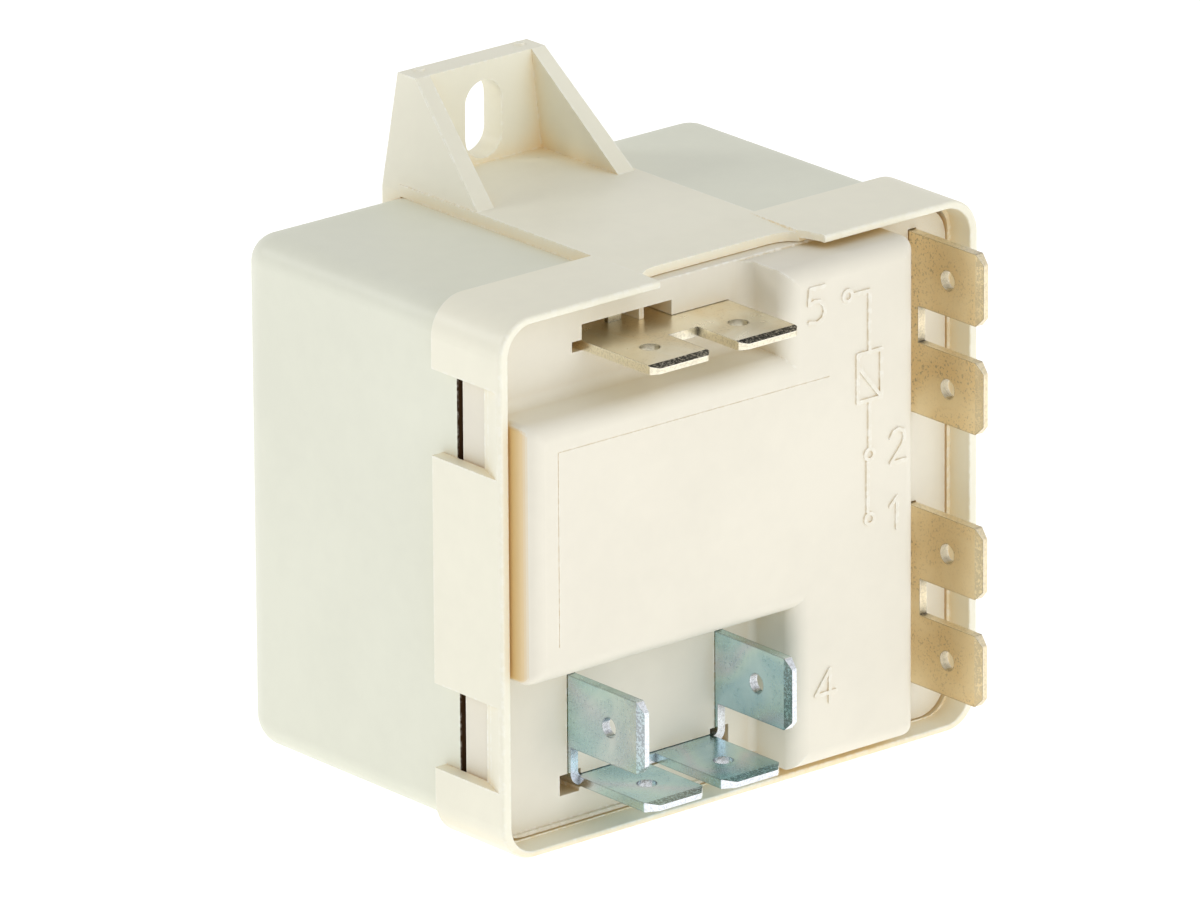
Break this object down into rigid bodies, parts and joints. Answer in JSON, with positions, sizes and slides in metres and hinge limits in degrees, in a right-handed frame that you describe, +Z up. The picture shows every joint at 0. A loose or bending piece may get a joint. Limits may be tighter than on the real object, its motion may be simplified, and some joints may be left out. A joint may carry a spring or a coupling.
{
  "type": "compressor start relay",
  "caption": "Potential start relay in a cream moulded case with quick-connect tab terminals and a slotted mounting ear, coil and switching contacts inside.",
  "frame": {"origin": "middle of the footprint's bounding box, at the level of the surface that the relay stands on", "axes": "+Z up, towards the mounting ear; +Y towards the rear of the housing, so the terminals face -Y; +X to the right as seen from the terminal side"},
  "size_m": [0.052, 0.0428, 0.0563],
  "materials": {
    "housing_plastic": "moulded cream thermoplastic, fine satin",
    "frame_plastic": "moulded cream thermoplastic, fine satin",
    "base_plastic": "moulded cream thermoplastic, fine satin",
    "tinned_brass": "tin-plated brass strip with bright sheared edges",
    "zinc_steel": "zinc-plated steel strip with a faint iridescence",
    "magnet_steel": "zinc-plated magnet steel",
    "bobbin_plastic": "moulded dark thermoplastic",
    "copper_wire": "enamelled copper winding",
    "coil_tape": "yellow polyester tape",
    "shim_brass": "thin brass sheet",
    "carrier_plastic": "moulded brown-red thermoset",
    "spring_steel": "bright spring wire",
    "contact_copper": "copper alloy strip",
    "contact_silver": "silver alloy, matt",
    "lead_insulation": "insulated lead wire",
    "pin_metal": "tinned wire pins",
    "fastener_steel": "zinc-plated steel"
  },
  "bodies": {
    "relay": {"rear_housing": "housing_plastic", "mounting_frame": "frame_plastic", "terminal_base": "base_plastic", "terminal_5": "tinned_brass", "terminal_2": "tinned_brass", "terminal_1": "tinned_brass", "terminal_4": "zinc_steel", "yoke": "magnet_steel", "core": "magnet_steel", "bobbin": "bobbin_plastic", "coil_winding": "copper_wire", "coil_tape": "coil_tape", "bobbin_pins": "pin_metal", "frame_screws": "fastener_steel", "armature_retainer": "spring_steel", "fixed_contact_2": "contact_silver", "fixed_contact_1": "contact_silver", "return_spring": "spring_steel", "lead_5": "lead_insulation", "lead_2": "lead_insulation"},
    "armature_group": {"armature": "magnet_steel", "residual_shim": "shim_brass", "contact_carrier": "carrier_plastic", "carrier_rivets": "fastener_steel", "contact_bridge": "contact_copper", "moving_contacts": "contact_silver", "contact_spring": "spring_steel"}
  },
  "joints": [
    {"name": "armature_pivot", "type": "hinge", "parent": "relay", "child": "armature_group", "pos_m": [0.0071, 0.00683, 0.0365], "axis": [0, -1, 0], "range_deg": [0, 5], "stiffness_Nm_per_rad": 0.03, "springref_deg": -5.73, "deforming": ["return_spring"]}
  ]
}
